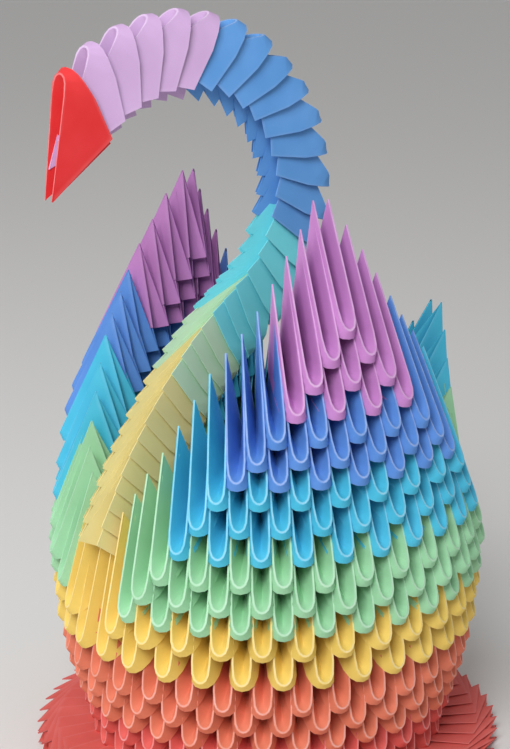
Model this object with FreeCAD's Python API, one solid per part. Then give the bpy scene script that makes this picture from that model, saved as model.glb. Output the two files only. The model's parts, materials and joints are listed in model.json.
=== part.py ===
"""Folded paper swan on a ring stand, with one solid for each folded paper unit.

The swan looks along -Y and its stand lies on z = 0. Every unit is two nested leaves that open like
a roof from the fold on its long edge. The rows stand in each other, each half a unit on from the last.
"""

import FreeCAD, Part
import math
import os

SIZES = {
    # one folded unit
    "paper_leg": 20.0,
    "leaf_flare": 0.875,
    "leaf_slope": 0.1,
    "fold_outer": 0.12,
    "fold_inner": 0.22,
    "spine_fold": 0.5,
    "leaf_half_gap": 2.2,
    # the stand, a closed chain lying flat
    "stand_units": 56,
    "stand_rim": 54.0,
    "stand_height": 4.4,
    # the body
    "round_units": 34,
    "row_foot": 4.6,
    "rise_coral": 6.2,
    "rise_orange": 5.3,
    "rise_yellow": 7.2,
    "rise_green": 5.4,
    "rise_cyan": 6.1,
    "rise_blue": 4.5,
    "rise_violet": 5.5,
    "ring_coral": 44.2,
    "ring_orange": 48.3,
    "ring_yellow": 51.5,
    "ring_green": 52.5,
    "ring_cyan": 51.1,
    "ring_blue": 51.3,
    "ring_violet": 49.8,
    "tilt_coral": 6.0,
    "tilt_orange": 10.0,
    "tilt_yellow": 14.0,
    "tilt_green": 18.0,
    "tilt_cyan": 19.2,
    "tilt_blue": 22.0,
    "tilt_violet": 19.0,
    # the wings and the tail, as the shift at 100 mm above their first row
    "wing_pinch": 17.0,
    "wing_back": 4.5,
    "tail_out": 38.0,
    # the neck
    "neck_front": 52.3,
    "neck_foot": 60.9,
    "neck_step": 4.3,
    "rake_low": 94.4,
    "rake_hook": 104.4,
    "turn_foot": -25.0,
    "turn_chest": -44.7,
    "turn_throat": -57.2,
    "turn_nape": -17.9,
    "turn_head": 126.7,
}

BANDS = (("coral", 1, 2), ("orange", 3, 5), ("yellow", 6, 7), ("green", 8, 10),
         ("cyan", 11, 13), ("blue", 14, 16), ("violet", 17, 20))
BODY_ROWS = 7
WING_ROWS = range(8, 21)
TAIL_ROWS = range(8, 14)
NECK = (("neck_yellow", 10), ("neck_green", 4), ("neck_cyan", 6), ("neck_blue", 9),
        ("neck_lilac", 5), ("head", 1))
NECK_TURNS = ((0, "turn_foot"), (11, "turn_chest"), (16, "turn_throat"), (21, "turn_nape"), (34, "turn_head"))
NECK_RAKES = ((17, "rake_low"), (24, "rake_hook"))

doc = FreeCAD.newDocument("swan")
sheet = doc.addObject("Spreadsheet::Sheet", "sizes")
for line, (alias, number) in enumerate(SIZES.items(), 1):
    sheet.set("A%d" % line, alias)
    sheet.set("B%d" % line, str(number))
    sheet.setAlias("B%d" % line, alias)
doc.recompute()


def size(alias):
    return float(sheet.get(alias))


def between(at, knots):
    """The value at a place between knots, straight on past the last two."""
    low = 0
    while low < len(knots) - 2 and at > knots[low + 1][0]:
        low += 1
    (x0, y0), (x1, y1) = knots[low], knots[low + 1]
    return y0 + (y1 - y0) * (at - x0) / (x1 - x0)


def row_ring(row):
    """Apex radius, apex height and inward tilt (radians) of a row of the body, wings and tail."""
    middles = [(first + last) / 2.0 for name, first, last in BANDS]
    ring = between(row, [(mid, size("ring_" + band[0])) for mid, band in zip(middles, BANDS)])
    tilt = between(row, [(mid, size("tilt_" + band[0])) for mid, band in zip(middles, BANDS)])
    height = size("row_foot")
    for name, first, last in BANDS:
        height += size("rise_" + name) * max(0, min(row, last) - max(first, 2) + 1)
    return ring, height, math.radians(tilt)


def unit_solid(place, slope):
    """One folded unit. place(u, n, side, out) gives the point u along the fold from the closed tip and
    n outward from it, on the spine (side 0) or on a leaf (side -1 or 1) and out mm to its outer side."""
    leg = size("paper_leg")
    fold = leg * math.sqrt(2.0)
    depth = fold / 2.0
    tip = place(0, 0, 0, 0)
    rise = size("spine_fold") * math.sqrt(0.5)
    c1 = place(depth + rise, -depth + rise, 0, 0)
    c2 = place(depth, -depth, 0, 0)
    inner = (depth + 0.175 * depth, -0.825 * depth)
    outer = (0.45 * fold, -0.86 * depth)
    faces = []
    for side in (-1, 1):
        a1 = place(0.09 * leg, size("fold_outer"), side, 0)
        a2 = place(0.09 * leg, -size("fold_inner"), side, 0)
        point = place(0.96 * fold, 0, side, 0)
        c = place(inner[0], inner[1], side, slope * inner[1])
        o = place(outer[0], outer[1], side, -slope * outer[1])
        half = [(tip, c1, a1), (c1, c, a1), (a1, c, point), (a1, point, o), (a1, o, a2), (tip, a1, a2),
                (a2, o, point), (a2, point, c), (a2, c, c2), (tip, a2, c2), (c, c1, c2)]
        faces += [half_face if side > 0 else half_face[::-1] for half_face in half]
    shell = Part.makeShell([Part.Face(Part.makePolygon(list(face) + [face[0]])) for face in faces])
    shell.sewShape()
    solid = Part.makeSolid(shell)
    if solid.Volume < 0:
        solid.reverse()
    return solid


def lean(point):
    """Above the body the sides lean in and back as wings, and the back leans out as the tail."""
    lift = max(0.0, point.z - row_ring(8)[1]) / 100.0
    from_front = math.degrees(math.atan2(abs(point.x), -point.y))
    tail = min(1.0, max(0.0, (from_front - 130.0) / 30.0))
    pinch = size("wing_pinch") * (1.0 - tail) * max(-1.0, min(1.0, point.x / 12.0))
    back = size("wing_back") * (1.0 - tail) + size("tail_out") * tail
    return point + FreeCAD.Vector(-pinch, back, 0) * (lift * lift)


def ring_unit(row, angle):
    """A unit of a row, with its spine at an angle (degrees) from the front toward +X."""
    ring, height, tilt = row_ring(row)
    half_step = math.radians(90.0 / size("round_units"))
    depth = 0.86 * size("paper_leg") * math.sqrt(0.5)
    inside = ring - 0.64 * size("paper_leg") * math.sin(tilt) - depth * math.cos(tilt)
    slope = size("leaf_flare") * inside * half_step / depth

    def place(u, n, side, out):
        turn = math.radians(angle) + side * half_step
        radius = ring - u * math.sin(tilt) + n * math.cos(tilt)
        z = height + u * math.cos(tilt) + n * math.sin(tilt)
        x = radius * math.sin(turn) + side * out * math.cos(turn)
        y = -radius * math.cos(turn) + side * out * math.sin(turn)
        return lean(FreeCAD.Vector(x, y, z))

    return unit_solid(place, slope)


def chain_unit(corner, along, rising, across, half_gap, slope):
    """A unit of a chain, from its square corner. along runs to the closed tip and rising to the points."""
    leg = size("paper_leg")

    def place(u, n, side, out):
        root = math.sqrt(0.5)
        to_tip = leg - u * root + n * root
        to_point = u * root + n * root
        return corner + along * to_tip + rising * to_point + across * (side * (half_gap + out))

    return unit_solid(place, slope)


def add_node(name, solids):
    node = doc.addObject("Part::Feature", name)
    node.Label = name
    node.Shape = Part.makeCompound(solids)
    return node


def stand():
    count = int(size("stand_units"))
    half = size("stand_height") / 2.0
    slope = 0.45 * half / (0.86 * size("paper_leg") * math.sqrt(0.5))
    solids = []
    for number in range(count):
        turn = math.radians(360.0 * number / count)
        outward = FreeCAD.Vector(math.sin(turn), -math.cos(turn), 0)
        onward = FreeCAD.Vector(math.cos(turn), math.sin(turn), 0)
        corner = outward * size("stand_rim") + FreeCAD.Vector(0, 0, half)
        solids.append(chain_unit(corner, -outward, onward, FreeCAD.Vector(0, 0, 1), 0.55 * half, slope))
    add_node("stand_ring", solids)


def rows():
    count = int(size("round_units"))
    step = 360.0 / count
    for row in range(1, BODY_ROWS + 1):
        start = 0.0 if row % 2 else step / 2.0
        angles = [start + step * number for number in range(count)]
        if row == BODY_ROWS:
            angles = angles[1:]
        add_node("body_row_%02d" % row, [ring_unit(row, angle) for angle in angles])
    for row in WING_ROWS:
        first = step * (1.5 + 0.5 * (row - 8))
        angles = [first + step * number for number in range(21 - row)]
        add_node("wing_left_row_%02d" % row, [ring_unit(row, angle) for angle in angles])
        add_node("wing_right_row_%02d" % row, [ring_unit(row, -angle) for angle in angles])
    for row in TAIL_ROWS:
        number = 14 - row
        angles = [180.0 + step * (place - (number - 1) / 2.0) for place in range(number)]
        add_node("tail_row_%02d" % row, [ring_unit(row, angle) for angle in angles])


def neck():
    turns = [(at, size(alias)) for at, alias in NECK_TURNS]
    rakes = [(at, size(alias)) for at, alias in NECK_RAKES]
    y, z = -size("neck_front"), size("neck_foot")
    number = 0
    for name, count in NECK:
        solids = []
        for unit in range(count):
            turn = between(number, turns)
            if number:
                rake = between(min(max(number, 17), 24), rakes)
                way = math.radians((turn + between(number - 1, turns)) / 2.0 + rake)
                y += size("neck_step") * math.cos(way)
                z += size("neck_step") * math.sin(way)
            angle = math.radians(turn)
            along = FreeCAD.Vector(0, math.cos(angle), math.sin(angle))
            rising = FreeCAD.Vector(0, -math.sin(angle), math.cos(angle))
            solids.append(chain_unit(FreeCAD.Vector(0, y, z), along, rising, FreeCAD.Vector(1, 0, 0),
                                     size("leaf_half_gap"), size("leaf_slope")))
            number += 1
        add_node(name, solids)


stand()
rows()
neck()
doc.recompute()

os.makedirs("parts", exist_ok=True)
for node in doc.Objects:
    if node.TypeId != "Part::Feature":
        continue
    if "Invalid" in node.State or "Error" in node.State or node.Shape.isNull() or not node.Shape.isValid():
        raise RuntimeError("bad shape in " + node.Label)
    node.Shape.exportStep(os.path.join("parts", node.Label + ".step"))
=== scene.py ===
"""Dresses the folded paper swan: every unit of its CAD rows becomes a folded sheet whose crease ridges are
whitened, partly scuffed paper and partly a painted highlight.
"""

import json
import math
import random

import bpy
import numpy as np
from mathutils import Matrix, Vector


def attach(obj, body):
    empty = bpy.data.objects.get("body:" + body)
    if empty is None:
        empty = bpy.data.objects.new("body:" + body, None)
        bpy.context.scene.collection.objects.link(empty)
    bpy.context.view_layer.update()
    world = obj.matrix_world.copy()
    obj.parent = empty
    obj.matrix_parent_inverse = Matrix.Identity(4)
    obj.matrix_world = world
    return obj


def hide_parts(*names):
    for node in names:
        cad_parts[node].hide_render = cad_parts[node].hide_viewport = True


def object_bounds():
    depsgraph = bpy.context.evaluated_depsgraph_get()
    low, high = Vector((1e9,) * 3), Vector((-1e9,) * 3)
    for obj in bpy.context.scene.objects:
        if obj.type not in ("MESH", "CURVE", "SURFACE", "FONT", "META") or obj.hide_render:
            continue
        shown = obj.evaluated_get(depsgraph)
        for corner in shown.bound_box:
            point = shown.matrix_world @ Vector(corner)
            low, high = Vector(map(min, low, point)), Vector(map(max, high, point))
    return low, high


bl_info = {
    "name": "Folded Paper Swan",
    "version": (1, 0, 0),
    "blender": (4, 5, 0),
    "location": "3D View > Sidebar > Swan",
    "description": "Folds the units of a paper swan round its CAD rows and sets the stage for it",
    "category": "Object",
}

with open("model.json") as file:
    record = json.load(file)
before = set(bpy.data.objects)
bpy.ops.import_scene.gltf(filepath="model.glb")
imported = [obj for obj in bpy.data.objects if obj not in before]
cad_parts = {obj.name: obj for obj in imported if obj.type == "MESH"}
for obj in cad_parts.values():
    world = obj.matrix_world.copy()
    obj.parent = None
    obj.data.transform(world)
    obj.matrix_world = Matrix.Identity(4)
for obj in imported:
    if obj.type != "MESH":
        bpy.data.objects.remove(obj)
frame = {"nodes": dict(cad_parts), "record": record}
CAD_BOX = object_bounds()
MM = 0.001

# The rings and rows of the CAD part, by the paper that they are folded from.
STAND_ROWS = {"stand_ring": "coral"}
BODY_ROWS = {"body_row_%02d" % row: paper for row, paper in
             zip(range(1, 8), ("coral", "coral", "orange", "orange", "orange", "yellow", "yellow"))}
UPPER_PAPERS = dict(zip(range(8, 21), ("green",) * 3 + ("cyan",) * 3 + ("blue",) * 3 + ("violet",) * 4))
LEFT_WING_ROWS = {"wing_left_row_%02d" % row: paper for row, paper in UPPER_PAPERS.items()}
RIGHT_WING_ROWS = {"wing_right_row_%02d" % row: paper for row, paper in UPPER_PAPERS.items()}
TAIL_ROWS = {"tail_row_%02d" % row: UPPER_PAPERS[row] for row in range(8, 14)}
NECK_ROWS = {"neck_yellow": "neck_yellow", "neck_green": "neck_green", "neck_cyan": "neck_cyan",
             "neck_blue": "neck_blue"}
HOOK_ROWS = {"neck_lilac": "lilac"}
HEAD_ROWS = {"head": "red"}

# A folded unit in its own measures: along the long fold from its closed tip, outward from the fold, and
# sideways, where 1 is the ridge of a leaf and 2 is the outer edge of the leaf's flank.
UNIT_FOLD = 27.15
UNIT_DEPTH = 12.0
LEAF_HALF = 2.2
SPINE = ((0.45, -0.45, 0.0), (1.6, -1.6, 0.0), (3.4, -3.4, 0.0), (6.2, -6.2, 0.0), (10.0, -10.0, 0.0),
         (14.1, -14.1, 0.0), (27.0, -0.3, 0.95))
RIDGE = ((0.0, 0.0, 0.0), (0.15, 0.0, 0.3), (0.7, 0.0, 0.62), (1.9, 0.0, 0.86), (4.5, 0.0, 1.0),
         (13.0, 0.0, 1.02), (27.15, 0.0, 1.0))
FLANK = ((-1.5, -1.4, 0.0), (-1.2, -1.7, 0.75), (-0.3, -2.5, 1.45), (1.4, -4.1, 1.9), (4.6, -6.9, 2.05),
         (12.7, -12.2, 2.0), (27.0, -0.3, 1.05))
ACROSS = (0.0, 0.42, 0.58, 1.0)
CREST_DROP = 0.12
SMOOTH_ANGLE = math.radians(38.0)
ROOT_HALF = math.sqrt(0.5)

# How the units of a chain close over each other.
CHAIN_TAPER = 0.075
CHAIN_SETBACK = 0.2
TAPER_MIDDLE = 9.0
SETBACK_REACH = 11.0

# Corners of a CAD solid that round to the same 5 micrometres are one.
WELD_STEPS = 2e5

# The paper's scuffing and the painted highlight along its crease ridges, as places across the sheet, and its
# noises as repeats in a metre.
# How narrowly the ridge's whitening, scuffed paper and painted highlight, keeps to the middle of the ridge.
RIDGE_SCUFFING_AND_HIGHLIGHT_SHARPNESS = 10.5
EDGE_START = 0.955
EDGE_SHARPNESS = 22.0
EDGE_WEAR = 0.35
SCUFF_GAIN = 1.8
SCUFF_FLOOR = 0.1
SCUFF_SCALE = 420.0
FADE_SCALE = 90.0
FIBRE_SCALE = 2600.0
DEEP_SHARE = 0.80
PALE_SHARE = 0.05

# Each lamp's name, place, share of the key lamp's power and side.
LAMPS = (("key", (0.46, -0.62, 0.72), 1.0, 0.45), ("fill", (-0.35, -0.70, 0.40), 0.2, 0.6))
LAMP_AIM = Vector((0.0, 0.0, 0.08))


class PaperSizes(bpy.types.PropertyGroup):
    """The make of the folded units."""

    crease: bpy.props.FloatProperty(
        name="Crease", description="Half width of a leaf's rounded ridge", default=0.28 * MM, unit="LENGTH")
    thickness: bpy.props.FloatProperty(
        name="Thickness", description="Thickness of a leaf's layers", default=0.3 * MM, unit="LENGTH")
    play: bpy.props.FloatProperty(
        name="Play", description="How far a unit sits out of true", default=0.2 * MM, unit="LENGTH")
    # How white the creases are made: scuffed paper, and along their ridges a painted highlight.
    scuffing_and_highlight_strength: bpy.props.FloatProperty(
        name="Wear", description="How white the creases are worn", default=0.3, min=0.0, max=1.0)
    lint: bpy.props.FloatProperty(
        name="Lint", description="Depth of the paper's fibres", default=0.03 * MM, unit="LENGTH")


def paper_colour(name, colour):
    return bpy.props.FloatVectorProperty(name=name, description="Colour of the %s paper" % name.lower(),
                                         default=colour, size=3, min=0.0, max=1.0, subtype="COLOR")


class PaperColours(bpy.types.PropertyGroup):
    """The dyes of the papers, as linear colours."""

    coral: paper_colour("Coral", (0.80, 0.11, 0.09))
    orange: paper_colour("Orange", (0.82, 0.21, 0.11))
    yellow: paper_colour("Yellow", (0.92, 0.66, 0.13))
    green: paper_colour("Green", (0.36, 0.72, 0.42))
    cyan: paper_colour("Cyan", (0.05, 0.55, 0.80))
    blue: paper_colour("Blue", (0.09, 0.28, 0.75))
    violet: paper_colour("Violet", (0.60, 0.24, 0.62))
    neck_yellow: paper_colour("Neck yellow", (0.92, 0.80, 0.34))
    neck_green: paper_colour("Neck green", (0.60, 0.88, 0.60))
    neck_cyan: paper_colour("Neck cyan", (0.18, 0.82, 0.92))
    neck_blue: paper_colour("Neck blue", (0.10, 0.34, 0.78))
    lilac: paper_colour("Lilac", (0.68, 0.44, 0.76))
    red: paper_colour("Red", (0.80, 0.002, 0.005))
    # The white of scuffed paper, which along the crease ridges also paints a highlight.
    worn: paper_colour("Worn", (0.93, 0.92, 0.95))


class StageSizes(bpy.types.PropertyGroup):
    """The camera, the lamps and the floor."""

    camera_place: bpy.props.FloatVectorProperty(
        name="Camera place", description="Where the camera stands", default=(0.3600, -0.2621, 0.2147),
        size=3, subtype="TRANSLATION")
    azimuth: bpy.props.FloatProperty(
        name="Azimuth", description="Turn of the camera from the swan's front", default=math.radians(54.26),
        subtype="ANGLE")
    pitch: bpy.props.FloatProperty(
        name="Pitch", description="How far the camera looks down", default=math.radians(15.55),
        subtype="ANGLE")
    roll: bpy.props.FloatProperty(
        name="Roll", description="Roll of the camera", default=math.radians(-0.3), subtype="ANGLE")
    lens: bpy.props.FloatProperty(
        name="Lens", description="Focal length in millimetres", default=93.95)
    floor: bpy.props.FloatProperty(
        name="Floor", description="Side of the floor", default=6.0, unit="LENGTH")
    daylight: bpy.props.FloatProperty(
        name="Daylight", description="Strength of the light from all round", default=0.34, min=0.0)
    key: bpy.props.FloatProperty(
        name="Key", description="Power of the key lamp in watts", default=7.5, min=0.0)


class Wire:
    """A node socket that is added, subtracted and multiplied like a number."""

    def __init__(self, tree, socket):
        self.tree = tree
        self.socket = socket

    def node(self, kind, settings, values, output=0):
        node = self.tree.nodes.new(kind)
        for name, value in settings.items():
            setattr(node, name, value)
        for place, value in values.items():
            if isinstance(value, Wire):
                self.tree.links.new(value.socket, node.inputs[place])
            else:
                node.inputs[place].default_value = value
        return Wire(self.tree, node.outputs[output])

    def calculate(self, operation, first, second, clamp=False):
        settings = {"operation": operation, "use_clamp": clamp}
        return self.node("ShaderNodeMath", settings, {0: first, 1: second})

    def __add__(self, other):
        return self.calculate("ADD", self, other)

    def __sub__(self, other):
        return self.calculate("SUBTRACT", self, other)

    def __rsub__(self, other):
        return self.calculate("SUBTRACT", other, self)

    def __mul__(self, other):
        return self.calculate("MULTIPLY", self, other)

    def __abs__(self):
        return self.calculate("ABSOLUTE", self, 0.0)

    def clamped(self):
        return self.calculate("ADD", self, 0.0, clamp=True)


def paper_material(paper):
    """Matt dyed paper, white along its crease ridges, where the white is scuffed paper and a painted
    highlight, and a little white along its cut edges, where it is scuffed.
    """
    name = "dyed_%s_sheet" % paper
    if name in bpy.data.materials:
        return bpy.data.materials[name]
    scene = bpy.context.scene
    dye = tuple(getattr(scene.swan_colours, paper)) + (1.0,)
    worn = tuple(scene.swan_colours.worn) + (1.0,)
    material = bpy.data.materials.new(name)
    material.use_nodes = True
    tree = material.node_tree
    shader = tree.nodes["Principled BSDF"]
    shader.inputs["Roughness"].default_value = 0.72
    shader.inputs["Specular IOR Level"].default_value = 0.35
    start = Wire(tree, None)
    sheet = start.node("ShaderNodeUVMap", {"uv_map": "fold"}, {})
    across = start.node("ShaderNodeSeparateXYZ", {}, {0: sheet}, "Y")
    place = start.node("ShaderNodeTexCoord", {}, {}, "Object")
    scuffs = start.node("ShaderNodeTexNoise", {}, {"Vector": place, "Scale": SCUFF_SCALE, "Detail": 3.0})
    fade = start.node("ShaderNodeTexNoise", {}, {"Vector": place, "Scale": FADE_SCALE, "Detail": 2.0})
    # Along the middle of each leaf's ridge: scuffed paper and a painted highlight.
    ridge_scuffing_and_highlight = (1.0 - abs(across - 0.5) * RIDGE_SCUFFING_AND_HIGHLIGHT_SHARPNESS).clamped()
    edge = ((across - EDGE_START) * EDGE_SHARPNESS).clamped() * EDGE_WEAR
    # The white on the sheet: painted highlight and scuffing on the ridges, scuffing on the cut edges.
    scuffing_and_highlight = ((ridge_scuffing_and_highlight * (scuffs * SCUFF_GAIN - SCUFF_FLOOR) + edge * scuffs) * scene.swan_sizes.scuffing_and_highlight_strength).clamped()
    deep = tuple(DEEP_SHARE * part for part in dye[:3]) + (1.0,)
    pale = tuple(part + PALE_SHARE * (1.0 - part) for part in dye[:3]) + (1.0,)
    tint = start.node("ShaderNodeMix", {"data_type": "RGBA"}, {0: fade, 6: deep, 7: pale}, 2)
    colour = start.node("ShaderNodeMix", {"data_type": "RGBA"}, {0: scuffing_and_highlight, 6: tint, 7: worn}, 2)
    tree.links.new(colour.socket, shader.inputs["Base Color"])
    fibres = start.node("ShaderNodeTexNoise", {}, {"Vector": place, "Scale": FIBRE_SCALE, "Detail": 2.0})
    lint = scene.swan_sizes.lint
    bump = start.node("ShaderNodeBump", {}, {"Height": fibres, "Strength": 0.5, "Distance": lint})
    tree.links.new(bump.socket, shader.inputs["Normal"])
    return material


def ridge_shoulders(station):
    """The two points beside a point of the ridge, half a crease to its inner and outer side."""
    before = Vector(RIDGE[max(station - 1, 0)])
    after = Vector(RIDGE[min(station + 1, len(RIDGE) - 1)])
    way = Vector(((after.x - before.x) * MM, (after.z - before.z) * LEAF_HALF * MM))
    if station == 0:
        way = Vector((0.0, 1.0))
    way.normalize()
    crease = bpy.context.scene.swan_sizes.crease / MM
    along, outward, aside = RIDGE[station]
    inner = (along + way.y * crease, outward - CREST_DROP, aside - way.x * crease / LEAF_HALF)
    outer = (along - way.y * crease, outward - CREST_DROP, aside + way.x * crease / LEAF_HALF)
    return inner, outer


def pull_to(mesh, points):
    """Pulls each vertex of the sheet in edit mode to its own place."""
    for index, point in enumerate(points):
        bpy.ops.mesh.select_all(action="DESELECT")
        bpy.ops.object.mode_set(mode="OBJECT")
        mesh.vertices[index].select = True
        shift = Vector(point) - mesh.vertices[index].co
        bpy.ops.object.mode_set(mode="EDIT")
        bpy.ops.transform.translate(value=shift)


def folded_unit():
    """One unit as a flat sheet folded up: half of it, mirrored across the spine and given its thickness.
    Its x is sideways, y outward and z along the fold, all in its own measures."""
    stations = len(RIDGE)
    bpy.ops.object.select_all(action="DESELECT")
    bpy.ops.mesh.primitive_grid_add(x_subdivisions=stations - 1, y_subdivisions=len(ACROSS) - 1, size=2.0)
    unit = bpy.context.object
    unit.name = "folded_unit"
    mesh = unit.data
    mesh.uv_layers.new(name="fold")
    for other in [layer for layer in mesh.uv_layers if layer.name != "fold"]:
        mesh.uv_layers.remove(other)
    places = []
    for vertex in mesh.vertices:
        station = round((vertex.co.x + 1.0) * 0.5 * (stations - 1))
        strip = round((vertex.co.y + 1.0) * 0.5 * (len(ACROSS) - 1))
        places.append((station, strip))
    sheet = mesh.uv_layers["fold"]
    for loop in mesh.loops:
        station, strip = places[loop.vertex_index]
        sheet.data[loop.index].uv = (station / (stations - 1.0), ACROSS[strip])
    points = []
    for station, strip in places:
        inner, outer = ridge_shoulders(station)
        along, outward, aside = (SPINE[station], inner, outer, FLANK[station])[strip]
        points.append((aside * LEAF_HALF, outward, along))
    bpy.ops.object.mode_set(mode="EDIT")
    pull_to(mesh, points)
    bpy.ops.mesh.select_all(action="SELECT")
    bpy.ops.mesh.normals_make_consistent(inside=False)
    bpy.ops.object.mode_set(mode="OBJECT")
    mirror = unit.modifiers.new("other_leaf", "MIRROR")
    mirror.use_clip = False
    mirror.merge_threshold = 0.02
    bpy.ops.object.modifier_apply(modifier=mirror.name)
    if ridge_normal(mesh).y < 0.0:
        mesh.flip_normals()
    layers = unit.modifiers.new("layers", "SOLIDIFY")
    layers.thickness = bpy.context.scene.swan_sizes.thickness / MM
    layers.offset = -1.0
    bpy.ops.object.modifier_apply(modifier=layers.name)
    bpy.ops.object.shade_smooth_by_angle(angle=SMOOTH_ANGLE)
    return unit


def ridge_normal(mesh):
    """The mean normal of the faces on the ridge."""
    total = Vector()
    for face in mesh.polygons:
        if face.center.y > -CREST_DROP - 0.05:
            total += face.normal * face.area
    return total


def half_width(pair, aside):
    """Half the distance between two points along a direction."""
    return abs(np.dot(pair[0] - pair[1], aside)) / 2.0


class Seat:
    """Where one unit of a CAD row sits, read from the corners of its solid."""

    def __init__(self, points, ends, corners, flanks):
        middle = (ends[0] + ends[1]) / 2.0
        fold_tip = max(points, key=lambda point: np.linalg.norm(point - middle))
        self.tip = fold_tip
        self.along = middle - fold_tip
        self.scale = np.linalg.norm(self.along) / (UNIT_FOLD * MM)
        self.along /= np.linalg.norm(self.along)
        aside = ends[1] - ends[0]
        self.ridge = np.linalg.norm(aside) / 2.0
        aside -= self.along * np.dot(aside, self.along)
        self.aside = aside / np.linalg.norm(aside)
        self.outward = np.cross(self.along, self.aside)
        deep = sum(corners) / len(corners) - fold_tip
        if np.dot(deep, self.outward) > 0.0:
            self.outward = -self.outward
        corner_width = half_width(corners, self.aside)
        flank_width = half_width(flanks, self.aside)
        self.root = (corner_width + flank_width) / 2.0
        self.flare = flank_width - self.root

    def place(self, points, taper=0.0, setback=0.0):
        """Points of the unit's own measures, put at this seat. With a taper the leaves close in toward the
        unit's two points by that much in every mm, so a chain's units lie over each other like cups. With a
        setback the open front edge draws back toward the fold, most near the points, so each corner shows."""
        aside, outward, along = points[:, 0] / LEAF_HALF, points[:, 1], points[:, 2]
        depth = np.clip(-outward / UNIT_DEPTH, 0.0, 1.2)
        ridge = self.ridge + (self.root - self.ridge) * depth
        size = np.abs(aside)
        width = np.minimum(size, 1.0) * ridge + np.maximum(size - 1.0, 0.0) * self.flare
        toward_points = (along + outward) * ROOT_HALF
        width += np.minimum(size, 1.0) * taper * (TAPER_MIDDLE - toward_points) * MM
        from_front = UNIT_FOLD * ROOT_HALF - (along - outward) * ROOT_HALF
        drawn = setback * toward_points * np.clip(1.0 - from_front / SETBACK_REACH, 0.0, 1.0)
        along = along - drawn * ROOT_HALF
        outward = outward + drawn * ROOT_HALF
        width *= np.sign(aside)
        scale = self.scale * MM
        return (self.tip + np.outer(along * scale, self.along) + np.outer(outward * scale, self.outward)
                + np.outer(width, self.aside))


def seats(node):
    """The seats of a CAD row's units. A solid's corners are told apart by how many triangles meet there."""
    mesh = frame["nodes"][node].data
    spots, index_of, lookup = [], {}, []
    for vertex in mesh.vertices:
        key = tuple(round(part * WELD_STEPS) for part in vertex.co)
        if key not in index_of:
            index_of[key] = len(spots)
            spots.append(np.array(vertex.co))
        lookup.append(index_of[key])
    root = list(range(len(spots)))

    def find(spot):
        while root[spot] != spot:
            root[spot] = root[root[spot]]
            spot = root[spot]
        return spot

    meets = [0] * len(spots)
    for face in mesh.polygons:
        ring = [lookup[vertex] for vertex in face.vertices]
        for spot in ring:
            meets[spot] += 1
            root[find(spot)] = find(ring[0])
    groups = {}
    for spot in range(len(spots)):
        groups.setdefault(find(spot), []).append(spot)
    found = []
    for group in groups.values():
        by_count = {count: [spots[spot] for spot in group if meets[spot] == count] for count in (3, 4, 5)}
        if [len(by_count[count]) for count in (3, 4, 5)] != [2, 2, 2]:
            raise RuntimeError("unit of %s isn't as folded" % node)
        found.append(Seat([spots[spot] for spot in group], by_count[4], by_count[5], by_count[3]))
    return found


def fold_rows(rows, taper=0.0, setback=0.0):
    """Fills each CAD row with folded units and lets them stand for it."""
    unit = folded_unit()
    count = len(unit.data.vertices)
    flat = np.empty(count * 3)
    unit.data.vertices.foreach_get("co", flat)
    shape = flat.reshape(-1, 3)
    for node, paper in rows.items():
        chance = random.Random(node)
        play = bpy.context.scene.swan_sizes.play
        copies = []
        for seat in seats(node):
            mesh = unit.data.copy()
            points = seat.place(shape, taper, setback)
            points += seat.along * chance.uniform(-play, play) + seat.outward * chance.uniform(-play, play)
            points += np.outer(shape[:, 2] / UNIT_FOLD, seat.outward * chance.uniform(-play, play))
            mesh.vertices.foreach_set("co", points.ravel())
            mesh.update()
            copy = bpy.data.objects.new(node + "_unit", mesh)
            bpy.context.collection.objects.link(copy)
            copies.append(copy)
        bpy.ops.object.select_all(action="DESELECT")
        for copy in copies:
            copy.select_set(True)
        bpy.context.view_layer.objects.active = copies[0]
        bpy.ops.object.join()
        row = bpy.context.object
        row.name = node + "_paper"
        row.data.name = row.name
        row.data.materials.clear()
        row.data.materials.append(paper_material(paper))
        if is_inside_out(row.data):
            row.data.flip_normals()
        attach(row, "root")
        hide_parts(node)
        frame_slot(node)
    bpy.data.objects.remove(unit)


def frame_slot(node):
    """The record's material slot of a CAD node."""
    for part in frame["record"]["subparts"]:
        if part["node"] == node:
            return part["material_slot"]
    raise RuntimeError("no slot for " + node)


def is_inside_out(mesh):
    """True where the closed mesh's faces point inwards."""
    volume = 0.0
    for face in mesh.polygons:
        corners = [mesh.vertices[index].co for index in face.vertices]
        for second, third in zip(corners[1:], corners[2:]):
            volume += corners[0].dot(second.cross(third))
    return volume < 0.0


class SWAN_OT_stand(bpy.types.Operator):
    """Fold the flat ring that the swan stands on"""

    bl_idname = "swan.stand"
    bl_label = "Stand"

    def execute(self, context):
        fold_rows(STAND_ROWS)
        return {"FINISHED"}


class SWAN_OT_body(bpy.types.Operator):
    """Fold the closed rows of the body"""

    bl_idname = "swan.body"
    bl_label = "Body"

    def execute(self, context):
        fold_rows(BODY_ROWS)
        return {"FINISHED"}


class SWAN_OT_wings(bpy.types.Operator):
    """Fold the rows of both wings"""

    bl_idname = "swan.wings"
    bl_label = "Wings"

    def execute(self, context):
        fold_rows(LEFT_WING_ROWS)
        fold_rows(RIGHT_WING_ROWS)
        return {"FINISHED"}


class SWAN_OT_tail(bpy.types.Operator):
    """Fold the rows of the tail"""

    bl_idname = "swan.tail"
    bl_label = "Tail"

    def execute(self, context):
        fold_rows(TAIL_ROWS)
        return {"FINISHED"}


class SWAN_OT_neck(bpy.types.Operator):
    """Fold the chain of the neck"""

    bl_idname = "swan.neck"
    bl_label = "Neck"

    def execute(self, context):
        fold_rows(NECK_ROWS, CHAIN_TAPER, CHAIN_SETBACK)
        fold_rows(HOOK_ROWS, CHAIN_TAPER)
        return {"FINISHED"}


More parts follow.
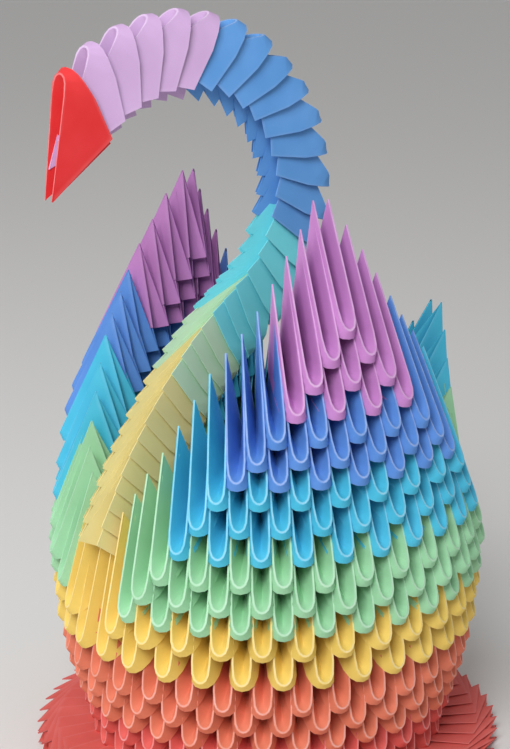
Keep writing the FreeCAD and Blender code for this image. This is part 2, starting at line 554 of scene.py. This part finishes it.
class SWAN_OT_head(bpy.types.Operator):
    """Fold the red unit at the neck's end"""

    bl_idname = "swan.head"
    bl_label = "Head"

    def execute(self, context):
        fold_rows(HEAD_ROWS, CHAIN_TAPER)
        return {"FINISHED"}


def seen_white(tree, shader, colour):
    """A shader that shows plain white to the camera and to gloss, and is itself for every other ray."""
    start = Wire(tree, None)
    camera = start.node("ShaderNodeLightPath", {}, {}, "Is Camera Ray")
    glossy = start.node("ShaderNodeLightPath", {}, {}, "Is Glossy Ray")
    through = start.node("ShaderNodeLightPath", {}, {}, "Is Transmission Ray")
    seen = (camera + glossy + through).clamped()
    white = start.node("ShaderNodeBackground", {}, {"Color": colour, "Strength": 1.0})
    return start.node("ShaderNodeMixShader", {}, {0: seen, 1: shader, 2: white})


class SWAN_OT_stage(bpy.types.Operator):
    """Set the floor, the lamps, the world and the camera"""

    bl_idname = "swan.stage"
    bl_label = "Stage"

    def execute(self, context):
        sizes = context.scene.swan_stage
        bpy.ops.object.select_all(action="DESELECT")
        bpy.ops.mesh.primitive_plane_add(size=sizes.floor, location=(0.0, 0.0, CAD_BOX[0][2]))
        floor = context.object
        floor.name = "floor"
        material = bpy.data.materials.new("floor")
        material.use_nodes = True
        shader = material.node_tree.nodes["Principled BSDF"]
        shader.inputs["Base Color"].default_value = (0.80, 0.79, 0.78, 1.0)
        shader.inputs["Roughness"].default_value = 0.9
        floor.data.materials.append(material)
        world = bpy.data.worlds.new("daylight")
        context.scene.world = world
        world.use_nodes = True
        tree = world.node_tree
        sky = Wire(tree, tree.nodes["Background"].outputs[0])
        tree.nodes["Background"].inputs["Color"].default_value = (1.0, 1.0, 1.0, 1.0)
        tree.nodes["Background"].inputs["Strength"].default_value = sizes.daylight
        seen = seen_white(tree, sky, (0.92, 0.92, 0.92, 1.0))
        tree.links.new(seen.socket, tree.nodes["World Output"].inputs[0])
        for name, place, share, side in LAMPS:
            bpy.ops.object.light_add(type="AREA", location=place)
            lamp = context.object
            lamp.name = name
            lamp.data.energy = sizes.key * share
            lamp.data.size = side
            lamp.rotation_euler = (Vector(place) - LAMP_AIM).to_track_quat("Z", "Y").to_euler()
        bpy.ops.object.camera_add(location=sizes.camera_place)
        camera = context.object
        turn = (Matrix.Rotation(sizes.azimuth, 3, "Z") @ Matrix.Rotation(math.pi / 2.0 - sizes.pitch, 3, "X")
                @ Matrix.Rotation(sizes.roll, 3, "Z"))
        camera.rotation_euler = turn.to_euler()
        camera.data.lens = sizes.lens
        camera.data.sensor_width = 36.0
        camera.data.clip_start = 0.01
        context.scene.camera = camera
        context.scene.view_settings.view_transform = "Standard"
        return {"FINISHED"}


class SWAN_PT_panel(bpy.types.Panel):
    """The swan's pieces, its papers and its stage"""

    bl_idname = "SWAN_PT_panel"
    bl_label = "Paper swan"
    bl_space_type = "VIEW_3D"
    bl_region_type = "UI"
    bl_category = "Swan"

    def draw(self, context):
        for operator in OPERATORS:
            self.layout.operator(operator.bl_idname)
        for group in (context.scene.swan_sizes, context.scene.swan_colours, context.scene.swan_stage):
            for name in group.bl_rna.properties.keys():
                if name not in ("rna_type", "name"):
                    self.layout.prop(group, name)


OPERATORS = (SWAN_OT_stand, SWAN_OT_body, SWAN_OT_wings, SWAN_OT_tail, SWAN_OT_neck, SWAN_OT_head,
             SWAN_OT_stage)
CLASSES = (PaperSizes, PaperColours, StageSizes) + OPERATORS + (SWAN_PT_panel,)


def register():
    for made in CLASSES:
        bpy.utils.register_class(made)
    bpy.types.Scene.swan_sizes = bpy.props.PointerProperty(type=PaperSizes)
    bpy.types.Scene.swan_colours = bpy.props.PointerProperty(type=PaperColours)
    bpy.types.Scene.swan_stage = bpy.props.PointerProperty(type=StageSizes)


def unregister():
    del bpy.types.Scene.swan_stage
    del bpy.types.Scene.swan_colours
    del bpy.types.Scene.swan_sizes
    for made in reversed(CLASSES):
        bpy.utils.unregister_class(made)


def main():
    register()
    bpy.ops.swan.stand()
    bpy.ops.swan.body()
    bpy.ops.swan.wings()
    bpy.ops.swan.tail()
    bpy.ops.swan.neck()
    bpy.ops.swan.head()
    bpy.ops.swan.stage()


if __name__ == "__main__":
    main()
